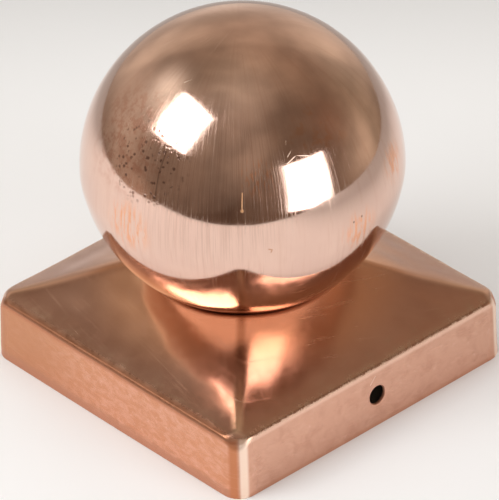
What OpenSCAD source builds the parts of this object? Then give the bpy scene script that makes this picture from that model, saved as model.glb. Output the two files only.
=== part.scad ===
// Square post cap with a hollow ball finial, pressed from sheet.
// Origin: centre of the mouth plane. +Z runs up the ball's axis, X and Y
// are square to the skirt faces. Millimetres.

/* [Skirt] */
// Outside width of the cap across its mouth
mouth_w = 93; // [92.6:0.1:93.6]
// Outside width across the skirt at the roof edge
shoulder_w = 92; // [91.8:0.1:92.4]
// Height of the skirt, mouth to roof edge
skirt_h = 17.3; // [16.9:0.1:17.6]
// Outside radius of the vertical corners at the mouth
corner_r = 5.2; // [4.6:0.1:6]
// Thickness of the pressed sheet
sheet_t = 0.8; // [0.7:0.05:0.9]
// Radius at which the roof corners are drawn in: axis distance plus height
corner_draw = 79; // [78.5:0.5:80]

/* [Fixing holes] */
// Diameter of the screw hole in the skirt
screw_hole_d = 5.2; // [4:0.1:6]
// Height of the screw holes above the mouth
screw_hole_z = 8.9; // [7:0.1:11]
// Sideways place of the screw holes
screw_hole_y = 1.4; // [-3:0.1:3]

/* [Roof] */
// Pitch of the four roof faces, degrees
roof_pitch = 25; // [24:0.5:26]

/* [Ball] */
// Outside radius of the lower dome
lower_r = 41.2; // [41:0.05:41.4]
// Height of the lower dome's centre
lower_z = 61.6; // [61.4:0.05:61.8]
// Outside radius of the upper dome
upper_r = 40.9; // [40.7:0.05:41]
// Height of the upper dome's centre
upper_z = 57.5; // [57.3:0.05:57.7]
// Wall of the two domes
dome_t = 0.7; // [0.6:0.05:0.8]
// Width of the flat pressed at the bottom of the ball
pole_flat_d = 30; // [29:0.5:31]

/* [Fastening] */
// Nominal diameter of the ball's screw
screw_d = 5; // [4.8:0.1:5.2]
// Length of the screw under its head
screw_len = 12; // [10:1:14]
// Clearance hole for the screw
clear_d = 5.5; // [5.4:0.1:6]
// Thickness of the seal under the ball
seal_t = 0.5; // [0.4:0.05:0.5]

/* [Hidden] */
$fn = 96;

copper = [0.78, 0.47, 0.34];
brass = [0.80, 0.66, 0.36];
steel = [0.68, 0.69, 0.70];
rubber = [0.10, 0.10, 0.11];

mouth_h = mouth_w / 2;
shoulder_h = shoulder_w / 2;
draft = (mouth_h - shoulder_h) / skirt_h;
corner_c = mouth_h - corner_r;
roof_drop = sheet_t / cos(roof_pitch);

// a small gap keeps the ball's skin off the seat's skin
seat_gap = 0.05;
seat_r = lower_r + seat_gap;
ball_flat_z = lower_z - sqrt(lower_r * lower_r - pole_flat_d * pole_flat_d / 4);
seat_flat_z = ball_flat_z - seal_t;

// height at which the two domes meet
seam_z = (lower_z * lower_z - upper_z * upper_z - lower_r * lower_r
          + upper_r * upper_r) / (2 * (lower_z - upper_z));

wash_t = 1;
spring_t = 1.2;
head_h = 2.75;
wall_low_z = seat_flat_z - sheet_t;
spring_z = wall_low_z - wash_t - spring_t;
boss_z = ball_flat_z + dome_t;
boss_flange_t = 1.5;
boss_h = 10;

// square with rounded corners and drafted sides, as exact flats and cones
module drafted_square(inset, z0, z1) {
    h0 = mouth_h - inset - draft * z0;
    h1 = mouth_h - inset - draft * z1;
    for (a = [0, 90]) rotate([90, 0, a])
        linear_extrude(height = 2 * corner_c, center = true)
            polygon([[-h0, z0], [h0, z0], [h1, z1], [-h1, z1]]);
    for (sx = [-1, 1], sy = [-1, 1])
        translate([sx * corner_c, sy * corner_c, z0])
            cylinder(h = z1 - z0, r1 = h0 - corner_c, r2 = h1 - corner_c);
}

// four roof planes: two crossed gables
module hipped_roof(half, z0) {
    rise = half * tan(roof_pitch);
    intersection_for(a = [0, 90]) rotate([90, 0, a])
        linear_extrude(height = 3 * half, center = true)
            polygon([[-half, z0], [half, z0], [0, z0 + rise]]);
}

// upright rounded square that trims the roof to the skirt's outline
module rounded_square(half, z0, z1) {
    r = half - corner_c;
    for (a = [0, 90]) rotate([0, 0, a])
        translate([-half, -corner_c, z0]) cube([2 * half, 2 * corner_c, z1 - z0]);
    for (sx = [-1, 1], sy = [-1, 1])
        translate([sx * corner_c, sy * corner_c, z0]) cylinder(h = z1 - z0, r = r);
}

// the corners are drawn in above the skirt
module corner_trim(shift) {
    k = corner_draw - shift;
    rotate_extrude()
        polygon([[0, -2], [k + 2, -2], [k - 60, 60], [0, 60]]);
}

// ball-shaped space with a flat bottom
module seat_space(r, flat_z) {
    intersection() {
        translate([0, 0, lower_z]) sphere(r = r);
        translate([-50, -50, flat_z]) cube([100, 100, 60]);
    }
}

module base_outside() {
    intersection() {
        union() {
            drafted_square(0, 0, skirt_h);
            intersection() {
                hipped_roof(shoulder_h, skirt_h);
                rounded_square(shoulder_h, skirt_h - 1, skirt_h + 30);
            }
        }
        corner_trim(0);
    }
}

module base_inside() {
    zi = skirt_h - roof_drop + sheet_t * tan(roof_pitch);
    intersection() {
        union() {
            drafted_square(sheet_t, -1, zi);
            intersection() {
                hipped_roof(shoulder_h - sheet_t, zi);
                rounded_square(shoulder_h - sheet_t, zi - 1, zi + 30);
            }
        }
        corner_trim(sheet_t * sqrt(2));
    }
}

// drawn cap: skirt, hipped roof that runs up to the ball, and the dished seat under it
module base_shell() {
    color(copper) difference() {
        base_outside();
        seat_space(seat_r, seat_flat_z);
        difference() {
            base_inside();
            seat_space(seat_r + sheet_t, wall_low_z);
        }
        translate([0, 0, wall_low_z - 1]) cylinder(h = sheet_t + 2, d = clear_d);
        translate([-mouth_w, screw_hole_y, screw_hole_z]) rotate([0, 90, 0])
            cylinder(h = 2 * mouth_w, d = screw_hole_d);
    }
}

module ball_lower_dome() {
    color(copper) difference() {
        intersection() {
            translate([0, 0, lower_z]) sphere(r = lower_r);
            translate([-50, -50, ball_flat_z]) cube([100, 100, seam_z - ball_flat_z]);
        }
        intersection() {
            translate([0, 0, lower_z]) sphere(r = lower_r - dome_t);
            translate([-50, -50, ball_flat_z + dome_t]) cube([100, 100, 60]);
        }
        translate([0, 0, ball_flat_z - 1]) cylinder(h = dome_t + 2, d = clear_d);
    }
}

module ball_upper_dome() {
    color(copper) difference() {
        intersection() {
            translate([0, 0, upper_z]) sphere(r = upper_r);
            translate([-50, -50, seam_z]) cube([100, 100, 60]);
        }
        translate([0, 0, upper_z]) sphere(r = upper_r - dome_t);
    }
}

// band inside the ball that bridges the joint of the two domes
module ball_seam_band() {
    band = 4;
    gap = 0.03;
    color(copper) {
        intersection() {
            difference() {
                translate([0, 0, lower_z]) sphere(r = lower_r - dome_t - gap);
                translate([0, 0, lower_z]) sphere(r = lower_r - 2 * dome_t - gap);
            }
            translate([-50, -50, seam_z - band]) cube([100, 100, band]);
        }
        intersection() {
            difference() {
                translate([0, 0, upper_z]) sphere(r = upper_r - dome_t - gap);
                translate([0, 0, upper_z]) sphere(r = upper_r - 2 * dome_t - gap);
            }
            translate([-50, -50, seam_z]) cube([100, 100, band]);
        }
    }
}

// flanged, tapped boss brazed inside the bottom of the ball
module ball_boss() {
    color(brass) difference() {
        union() {
            translate([0, 0, boss_z]) cylinder(h = boss_flange_t, r = 9);
            translate([0, 0, boss_z]) cylinder(h = boss_h, r = 5.5);
        }
        translate([0, 0, boss_z - 1]) cylinder(h = boss_h + 2, d = screw_d + 0.04);
    }
}

module flat_ring(ro, ri, h) {
    difference() {
        cylinder(h = h, r = ro);
        translate([0, 0, -1]) cylinder(h = h + 2, r = ri);
    }
}

module seal_washer() {
    color(rubber) translate([0, 0, seat_flat_z]) flat_ring(11, screw_d / 2 + 0.1, seal_t);
}

module backing_washer() {
    color(brass) translate([0, 0, wall_low_z - wash_t]) flat_ring(10, screw_d / 2 + 0.25, wash_t);
}

module spring_washer() {
    color(steel) translate([0, 0, spring_z]) difference() {
        flat_ring(4.6, screw_d / 2 + 0.1, spring_t);
        translate([-0.5, 2, -1]) cube([1, 4, spring_t + 2]);
    }
}

// button-head socket screw, driven from inside the cap
module ball_screw() {
    head_r = 4.75;
    dome_r = 6.5;
    color(steel) difference() {
        union() {
            translate([0, 0, spring_z]) cylinder(h = screw_len, d = screw_d);
            intersection() {
                translate([0, 0, spring_z - head_h]) cylinder(h = head_h, r = head_r);
                translate([0, 0, spring_z - head_h + dome_r]) sphere(r = dome_r);
            }
        }
        translate([0, 0, spring_z - head_h - 1])
            cylinder(h = 2.6, d = 3 / cos(30), $fn = 6);
    }
}

base_shell();
ball_lower_dome();
ball_upper_dome();
ball_seam_band();
ball_boss();
seal_washer();
backing_washer();
spring_washer();
ball_screw();
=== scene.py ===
import bpy
import math
import numpy as np
from mathutils import Matrix, Vector

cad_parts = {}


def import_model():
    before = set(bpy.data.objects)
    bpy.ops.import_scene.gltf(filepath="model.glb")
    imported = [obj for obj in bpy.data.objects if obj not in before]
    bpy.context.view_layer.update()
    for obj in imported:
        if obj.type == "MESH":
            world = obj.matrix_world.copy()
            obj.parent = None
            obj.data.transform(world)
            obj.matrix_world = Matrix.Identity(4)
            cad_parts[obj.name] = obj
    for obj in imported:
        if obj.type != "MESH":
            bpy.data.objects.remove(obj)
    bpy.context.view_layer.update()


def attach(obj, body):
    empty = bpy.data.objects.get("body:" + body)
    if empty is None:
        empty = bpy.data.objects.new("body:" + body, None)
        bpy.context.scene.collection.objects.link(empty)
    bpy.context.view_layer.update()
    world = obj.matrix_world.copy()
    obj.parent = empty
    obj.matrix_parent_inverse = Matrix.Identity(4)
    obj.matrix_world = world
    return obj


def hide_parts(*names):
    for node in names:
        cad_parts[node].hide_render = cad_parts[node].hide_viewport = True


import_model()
scene = bpy.context.scene
MM = 0.001
TAU = 2 * math.pi


# ---------------------------------------------------------------- mesh helpers
def make_object(name, verts, faces, smooth=True, sharp_deg=38):
    """verts in millimetres; faces as tuples or an (n, 4) array"""
    me = bpy.data.meshes.new(name)
    me.from_pydata((np.asarray(verts, float) * MM).tolist(), [], [tuple(int(i) for i in f) for f in faces])
    me.validate(clean_customdata=False)
    me.update()
    if smooth:
        me.polygons.foreach_set("use_smooth", [True] * len(me.polygons))
        me.set_sharp_from_angle(angle=math.radians(sharp_deg))
    ob = bpy.data.objects.new(name, me)
    scene.collection.objects.link(ob)
    return ob


def piece(ob, node, material):
    ob.data.materials.clear()
    ob.data.materials.append(material)
    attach(ob, "root")
    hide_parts(node)
    return ob


def grid_faces(rows, cols, base=0, flip=False, closed_rows=False):
    r = np.arange(rows if closed_rows else rows - 1)
    c = np.arange(cols)
    R, C = np.meshgrid(r, c, indexing="ij")
    R2, C2 = (R + 1) % rows, (C + 1) % cols
    f = np.stack([R * cols + C, R * cols + C2, R2 * cols + C2, R2 * cols + C], -1).reshape(-1, 4)
    if flip:
        f = f[:, ::-1]
    return f + base


def lathe(profile, n=128, radius_of=None, closed=True, name="lathe", sharp_deg=38):
    """revolves (r, z) points, anticlockwise seen in the r-z plane (r to the right); radius_of(r, z, i, theta) bends it"""
    prof = np.asarray(profile, float)
    th = np.arange(n) / n * TAU
    r = prof[:, 0][:, None] * np.ones(n)
    z = prof[:, 1][:, None] * np.ones(n)
    if radius_of is not None:
        r, z = radius_of(r, z, th[None, :] * np.ones_like(r))
    v = np.stack([r * np.cos(th), r * np.sin(th), z], -1).reshape(-1, 3)
    f = grid_faces(len(prof), n, closed_rows=closed)
    return make_object(name, v, f, sharp_deg=sharp_deg)


def arc(cx, cz, r, a0, a1, n):
    """points on a circle in the r-z plane; angles in degrees from +r towards +z"""
    a = np.radians(np.linspace(a0, a1, n))
    return [(cx + r * math.cos(t), cz + r * math.sin(t)) for t in a]


def waves(P, seed, length, count=14):
    """a smooth uneven field of about unit size, from a few sine waves of the given length in mm"""
    rs = np.random.RandomState(seed)
    out = np.zeros(P.shape[:-1])
    for _ in range(count):
        d = rs.normal(size=3)
        d /= np.linalg.norm(d)
        out += np.sin(P @ d * (TAU / (length * rs.uniform(0.7, 1.6))) + rs.uniform(0, TAU))
    return out / math.sqrt(count / 2)


def smoothstep(a, b, x):
    t = np.clip((x - a) / (b - a), 0, 1)
    return t * t * (3 - 2 * t)


# ------------------------------------------------------------ sizes, as the CAD
MOUTH_H, SHOULDER_H, SKIRT_H, SHEET = 46.5, 46.0, 17.3, 0.8
CX = 41.3                                   # axis of each upright corner
SLOPE = math.tan(math.radians(24.6))
SAG = 0.3                                   # how far a roof face dips between its edge and the ball
LOWER_R, LOWER_Z, UPPER_R, UPPER_Z, DOME_T = 41.2, 61.6, 40.9, 57.5, 0.7
SEAT_R = LOWER_R + 0.05
BALL_FLAT_Z = LOWER_Z - math.sqrt(LOWER_R**2 - 15**2)
SEAT_FLAT_Z = BALL_FLAT_Z - 0.5
WALL_Z = SEAT_FLAT_Z - SHEET
SEAM_Z = (LOWER_Z**2 - UPPER_Z**2 - LOWER_R**2 + UPPER_R**2) / (2 * (LOWER_Z - UPPER_Z))
SPRING_Z = WALL_Z - 1.0 - 1.2
BOSS_Z = BALL_FLAT_Z + DOME_T


# ------------------------------------------------------ the pressed cap's sheet
def outline(th, z):
    """distance from the axis to the skirt's outside, at angle th and height z"""
    h = MOUTH_H - (MOUTH_H - SHOULDER_H) * z / SKIRT_H
    c, s = np.abs(np.cos(th)), np.abs(np.sin(th))
    big, small = np.maximum(c, s), np.minimum(c, s)
    flat = h / big
    r = h - CX
    b = CX * (c + s)
    corner = b + np.sqrt(np.maximum(b * b - (2 * CX * CX - r * r), 0))
    rho = np.where(flat * small <= CX, flat, corner)
    # the faces belly out a little towards the mouth
    side = np.clip(1 - (flat * small / CX) ** 2, 0, 1)
    return rho + 0.16 * side * (1 - z / SKIRT_H)


def roof_m(rho, th):
    """rounded form of max(|x|, |y|): crisp hips near the corners, softer towards the ball"""
    x, y = rho * np.abs(np.cos(th)), rho * np.abs(np.sin(th))
    k = 1.4 + 1.6 * smoothstep(60, 45, rho)
    return 0.5 * (x + y + np.sqrt((x - y) ** 2 + k * k))


def roof_z(rho, th):
    m = roof_m(rho, th)
    u = np.clip((SHOULDER_H - m) / 26.0, 0, 1.2)
    return SKIRT_H + (SHOULDER_H - m) * SLOPE - SAG * 4 * u * (1 - u)


def seat_z(rho):
    """the dish under the ball"""
    return LOWER_Z - np.sqrt(np.maximum(SEAT_R**2 - rho * rho, 1.0))


def rim_radius(th):
    """where the roof meets the dish"""
    lo, hi = np.full(len(th), 18.0), np.full(len(th), 32.0)
    for _ in range(40):
        mid = (lo + hi) / 2
        inside = seat_z(mid) < roof_z(mid, th)
        lo, hi = np.where(inside, mid, lo), np.where(inside, hi, mid)
    return (lo + hi) / 2


def base_columns():
    """angles of the columns: an even walk round the outline, close together at the corners"""
    y = np.concatenate([
        np.linspace(-41.3, -6.4, 33)[:-1], np.linspace(-6.4, -3.6, 4)[:-1], np.linspace(-3.6, 3.6, 9)[:-1],
        np.linspace(3.6, 6.4, 4)[:-1], np.linspace(6.4, 41.3, 33)[:-1]])
    flat = np.arctan2(y, 46.25)
    a = np.radians(np.linspace(0, 90, 31)[:-1])
    corner = np.arctan2(CX + 4.95 * np.sin(a), CX + 4.95 * np.cos(a))
    quarter = np.concatenate([flat, corner])
    return np.concatenate([quarter + q * math.pi / 2 for q in range(4)]), len(quarter)


def build_base():
    th, per_quarter = base_columns()
    n = len(th)
    # how far each column is into a corner, 1 on the diagonal
    off = np.abs((th + math.pi / 4) % (math.pi / 2) - math.pi / 4)      # 0 at a face centre, 45 deg at a corner
    cornerness = smoothstep(math.radians(40.6), math.radians(45), off)
    fillet = 1.0 + 3.6 * cornerness ** 1.2
    beta = np.arctan(SLOPE * 0.5 * (np.abs(np.cos(th)) + np.abs(np.sin(th))
                                    + np.sqrt((np.abs(np.cos(th)) - np.abs(np.sin(th))) ** 2 + 0.02 ** 2)))

    # where skirt and roof would meet
    ze = np.full(n, SKIRT_H)
    for _ in range(6):
        re = outline(th, ze)
        ze = roof_z(re, th)
    re = outline(th, ze)
    lean = (outline(th, 0 * ze) - re) / ze                                # inward lean of the skirt per mm of height
    up = math.pi / 2 + np.arctan(lean)                                   # direction of the skirt line, going up
    roof_dir = math.pi - beta                                            # direction of the roof line, going in
    turn = roof_dir - up
    T = fillet * np.tan(turn / 2)

    rows = []                                                            # each row: (rho, z) arrays over the columns
    z_top = ze - T * np.sin(up)
    f0 = np.concatenate([np.linspace(0, 3.9, 6)[:-1], np.linspace(3.9, 13.9, 13)[:-1], np.linspace(13.9, 16.5, 4)]) / 16.5
    z_lip = [0.0, 0.03, 0.12]
    inset = [0.12, 0.03, 0.0]
    for a, b in zip(z_lip, inset):
        z = np.full(n, a)
        rows.append((outline(th, z) - b, z))
    for f in f0[1:]:
        z = 0.12 + (z_top - 0.12) * f
        rows.append((outline(th, z), z))
    skirt_first, skirt_last = 2, len(rows) - 1
    # fillet: a round in each column's plane
    cx_ = re - T * np.cos(math.pi - up) + fillet * np.cos(up + math.pi / 2)
    cz_ = z_top + fillet * np.sin(up + math.pi / 2)
    start = up - math.pi / 2
    nf = 10
    for i in range(1, nf + 1):
        a = start + turn * i / nf
        rows.append((cx_ + fillet * np.cos(a), cz_ + fillet * np.sin(a)))
    r_t, z_t = rows[-1]
    z_fix = roof_z(r_t, th) - z_t                                        # the real hips are rounder than the lines used above
    for k in range(1, nf + 1):
        w = smoothstep(0, 1, k / nf)
        r_, z_ = rows[-nf - 1 + k]
        rows[-nf - 1 + k] = (r_, z_ + z_fix * w)
    # roof up to the rim, a bend over the rim, and down into the dish
    def surface(rho):
        a, b, k = roof_z(rho, th), seat_z(rho), 0.9
        h = np.clip(0.5 + 0.5 * (b - a) / k, 0, 1)
        return b * (1 - h) + a * h - k * h * (1 - h)

    rim = rim_radius(th)
    near = 1.5
    for i in range(1, 41):
        rho = rim + near + (r_t - rim - near) * (1 - i / 40) ** 1.15
        rows.append((rho, surface(rho)))
    for i in range(1, 13):
        rho = rim + near - 2 * near * i / 12
        rows.append((rho, surface(rho)))
    r_flat = math.sqrt(SEAT_R**2 - (LOWER_Z - SEAT_FLAT_Z) ** 2)
    for i in range(1, 11):
        rho = rim - near + (r_flat - rim + near) * i / 10
        rows.append((rho, np.maximum(surface(rho), SEAT_FLAT_Z)))
    for r in (12.0, 9.0, 6.0, 3.6, 2.95):
        rows.append((np.full(n, r), np.full(n, SEAT_FLAT_Z)))

    R = np.array([r for r, _ in rows])
    Z = np.array([z for _, z in rows])
    P = np.stack([R * np.cos(th), R * np.sin(th), Z], -1)

    def normals(P):
        du = np.roll(P, -1, 1) - np.roll(P, 1, 1)
        dv = np.empty_like(P)
        dv[1:-1] = P[2:] - P[:-2]
        dv[0], dv[-1] = P[1] - P[0], P[-1] - P[-2]
        N = np.cross(du, dv)
        return N / np.linalg.norm(N, axis=-1, keepdims=True)

    N = normals(P)
    # drawn sheet is never quite even
    taper = smoothstep(0, 3, Z) * smoothstep(25.5, 29.5, R)
    uneven = 0.045 * waves(P, 5, 26) + 0.016 * waves(P, 9, 9)
    P = P + N * (uneven * taper)[..., None]
    N = normals(P)
    skirt_rows = np.arange(len(rows)) <= skirt_last
    N[skirt_rows, :, 2] *= 0
    N /= np.linalg.norm(N, axis=-1, keepdims=True)
    inner = P - SHEET * N
    inner[0:3, :, 2] = np.array([0.0, 0.03, 0.12])[:, None]
    # the lip's inner edge is eased like the outer one
    inner[0] = P[2] - (SHEET - 0.12) * N[2]
    inner[0, :, 2] = 0.0
    inner[1] = P[2] - (SHEET - 0.03) * N[2]
    inner[1, :, 2] = 0.03

    # the hole for the ball's screw
    hole = [(2.78, SEAT_FLAT_Z - 0.08), (2.75, SEAT_FLAT_Z - 0.25), (2.75, WALL_Z + 0.12), (2.83, WALL_Z)]
    loops = np.array([np.stack([r * np.cos(th), r * np.sin(th), np.full(n, z)], -1) for r, z in hole])
    allP = np.concatenate([P, loops, inner[::-1]], 0)
    faces = grid_faces(len(allP), n, closed_rows=True)
    verts = allP.reshape(-1, 3)

    # ---- screw holes: open a window in both skins and fit a round hole in it
    first_inner = len(P) + len(loops)

    def inner_index(row):
        return first_inner + (len(P) - 1 - row)

    z_first = 2 + 5
    z_last = z_first + 12
    keep = np.ones(len(faces), bool)
    extra_v, extra_f = [], []
    count = len(verts)
    face_rows = faces[:, 0] // n
    face_cols = faces[:, 0] % n
    # the window spans y -3.6 to 6.4 on +X, and the same y on -X, which runs the other way round
    for sign, ca in ((1, 35), (-1, 2 * per_quarter + 32)):
        cb = ca + 11
        for r0, r1 in ((z_first, z_last), (inner_index(z_last), inner_index(z_first))):
            keep &= ~((face_rows >= r0) & (face_rows < r1) & (face_cols >= ca) & (face_cols < cb))
        ring = ([(z_first, c) for c in range(ca, cb)] + [(r, cb) for r in range(z_first, z_last)]
                + [(z_last, c) for c in range(cb, ca, -1)] + [(r, ca) for r in range(z_last, z_first, -1)])
        outer_loop = [r * n + c for r, c in ring]
        inner_loop = [inner_index(r) * n + c for r, c in ring]
        hy, hz = 1.4, 8.9
        ob = verts[outer_loop]
        ib = verts[inner_loop]
        ang = np.arctan2(ob[:, 2] - hz, ob[:, 1] - hy)
        m = len(ring)
        rings = []

        def skin_x(y, z, inset):
            rho = outline(np.arctan2(y, 46.2), z)
            return rho * np.cos(np.arctan2(y, 46.2)) - inset

        def surf(bound, inset, t, radius):
            cy, cz = hy + radius * np.cos(ang), hz + radius * np.sin(ang)
            y = bound[:, 1] * (1 - t) + cy * t
            z = bound[:, 2] * (1 - t) + cz * t
            d = sign * bound[:, 0] - skin_x(bound[:, 1], bound[:, 2], inset)
            x = skin_x(y, z, inset) + d * (1 - 0.6 * t)
            return y, z, x

        for t in (0.3, 0.55, 0.76, 0.9, 1.0):
            rings.append(surf(ob, 0.0, t, 2.88))
        for rr, dx in ((2.80, -0.012), (2.72, -0.05), (2.64, -0.13), (2.60, -0.25)):
            y, z, x = surf(ob, 0.0, 1.0, rr)
            rings.append((y, z, x + dx))
        for rr, dx in ((2.60, -0.55), (2.60, 0.06), (2.62, -0.03), (2.68, -0.07), (2.78, -0.02), (2.9, 0.0)):
            if dx == -0.55:
                y, z, x = surf(ob, 0.0, 1.0, rr)
            else:
                y, z, x = surf(ib, SHEET, 1.0, rr)
            rings.append((y, z, x + dx))
        for t in (0.85, 0.6, 0.3):
            rings.append(surf(ib, SHEET, t, 2.9))
        for y, z, x in rings:
            extra_v.append(np.stack([sign * x, y, z], -1))
        ids = [outer_loop] + [list(range(count + i * m, count + (i + 1) * m)) for i in range(len(rings))] + [inner_loop]
        count += m * len(rings)
        for a, b in zip(ids[:-1], ids[1:]):
            for i in range(m):
                j = (i + 1) % m
                extra_f.append((a[i], a[j], b[j], b[i]))
    verts = np.concatenate([verts] + extra_v, 0)
    all_faces = [tuple(f) for f in faces[keep]] + extra_f
    return make_object("pressed_cap", verts, all_faces, sharp_deg=40)


# -------------------------------------------------------------------- the ball
def reach(a, R, d):
    """length at angle a from straight down to a circle of radius R whose centre lies d lower than (0, 59.5)"""
    return d * np.cos(a) + np.sqrt(np.maximum(R * R - (d * np.sin(a)) ** 2, 0))


def ball_radius(a):
    """distance from (0, 59.5) to the ball's outside, at angle a from straight down: two domes, the joint dressed smooth"""
    ru, rl = reach(a, UPPER_R, 59.5 - UPPER_Z), reach(a, LOWER_R, 59.5 - LOWER_Z)
    k = 0.16
    h = np.clip(0.5 + 0.5 * (rl - ru) / k, 0, 1)
    return rl * (1 - h) + ru * h - k * h * (1 - h)


def dome(name, upper, n=416):
    th = np.arange(n) / n * TAU
    a_seam = math.pi - math.atan2(math.sqrt(UPPER_R**2 - (SEAM_Z - UPPER_Z) ** 2), SEAM_Z - 59.5)
    rows = []
    if upper:
        a = np.linspace(a_seam, math.pi - 0.012, 166)
    else:
        a_end = math.atan2(15.0, 59.5 - BALL_FLAT_Z)
        a = np.linspace(a_seam, a_end, 150)
    r = ball_radius(a)
    out = [(r_ * math.sin(t), 59.5 - r_ * math.cos(t)) for r_, t in zip(r, a)]
    inr = [((r_ - DOME_T) * math.sin(t), 59.5 - (r_ - DOME_T) * math.cos(t)) for r_, t in zip(r, a)][::4]
    if not upper:
        out += [(x, BALL_FLAT_Z) for x in (14.0, 11.0, 8.0, 5.0, 3.0)] + [(2.78, BALL_FLAT_Z + 0.05), (2.75, BALL_FLAT_Z + 0.15)]
        inner_end = [(2.75, BALL_FLAT_Z + DOME_T - 0.05), (3.0, BALL_FLAT_Z + DOME_T), (8.0, BALL_FLAT_Z + DOME_T), (13.6, BALL_FLAT_Z + DOME_T)]
        inr = [p for p in inr if p[1] > BALL_FLAT_Z + DOME_T + 0.3]
        prof = out + inner_end + inr[::-1]
        if prof[-1][0] != inr[0][0]:
            prof.append(inr[0])
    else:
        prof = out
    prof = np.array(prof)
    if upper:
        no = len(out)
        prof = np.array(out + inr[::-1])
    R = prof[:, 0][:, None] * np.ones(n)
    Zc = prof[:, 1][:, None] * np.ones(n)
    V = np.stack([R * np.cos(th), R * np.sin(th), Zc], -1)
    c = np.array([0, 0, 59.5])
    D = V - c
    D /= np.linalg.norm(D, axis=-1, keepdims=True)
    bump = 0.010 * waves(V, 21, 34) + 0.0045 * waves(V, 22, 12) + 0.0016 * waves(V, 23, 5)
    bump = bump * smoothstep(29, 34, Zc)
    V = V + D * bump[..., None]
    rows_n = len(prof)
    if upper:
        # open grids for the outer and inner skins, each closed by a cap vertex, joined at the seam
        f = grid_faces(rows_n, n, closed_rows=True, flip=False)
        rr = f[:, 0] // n
        f = f[rr != no - 1]                                              # no wall between the two poles
        top_o = np.array([[0, 0, 59.5 + float(ball_radius(np.array([math.pi]))[0])]]) + np.array([[0, 0, bump[no - 1].mean()]])
        top_i = top_o - np.array([[0, 0, DOME_T]])
        base = rows_n * n
        verts = np.concatenate([V.reshape(-1, 3), top_o, top_i])
        fans = [((no - 1) * n + i, (no - 1) * n + (i + 1) % n, base) for i in range(n)]
        fans += [(no * n + (i + 1) % n, no * n + i, base + 1) for i in range(n)]
        faces = [tuple(q) for q in f] + fans
    else:
        verts = V.reshape(-1, 3)
        faces = [tuple(q) for q in grid_faces(rows_n, n, closed_rows=True, flip=True)]
    ob = make_object(name, verts, faces, sharp_deg=60)
    return ob


# ---------------------------------------------------------------- small pieces
def band():
    gap, w = 0.03, 4.0
    t = DOME_T
    def side(R, cz, z0, z1, n):
        zz = np.linspace(z0, z1, n)
        return [(math.sqrt(R * R - (z - cz) ** 2), z) for z in zz]
    ro_l, ro_u = LOWER_R - t - gap, UPPER_R - t - gap
    outer = side(ro_l, LOWER_Z, SEAM_Z - w + 0.15, SEAM_Z, 12) + side(ro_u, UPPER_Z, SEAM_Z, SEAM_Z + w - 0.15, 12)[1:]
    inner = side(ro_l - t, LOWER_Z, SEAM_Z - w + 0.15, SEAM_Z, 12) + side(ro_u - t, UPPER_Z, SEAM_Z, SEAM_Z + w - 0.15, 12)[1:]
    (x0, _), (x1, _) = outer[0], inner[0]
    (x2, _), (x3, _) = outer[-1], inner[-1]
    prof = ([(x1 + 0.12, SEAM_Z - w), (x0 - 0.12, SEAM_Z - w)] + outer
            + [(x2 - 0.12, SEAM_Z + w), (x3 + 0.12, SEAM_Z + w)] + inner[::-1])
    def wob(r, z, th):
        # spot dimples where the strip was tacked
        return r - 0.05 * np.exp(-((np.mod(th * 12 / TAU, 1) - 0.5) ** 2) / 0.004) * np.exp(-((z - SEAM_Z) ** 2) / 2.0), z
    return lathe(prof, 288, wob, name="seam_strip")


PITCH = 0.8


def thread(r, z, th, rmin, rmax, z0, z1):
    """height of a 60 degree thread at (z, th)"""
    ph = np.mod(z / PITCH - th / TAU, 1.0)
    tri = np.clip(1.25 - np.abs(ph - 0.5) * 2.9, 0, 1)
    fade = smoothstep(z0, z0 + 0.7, z) * smoothstep(z1, z1 - 0.7, z)
    return rmin + (rmax - rmin) * tri * fade


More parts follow.
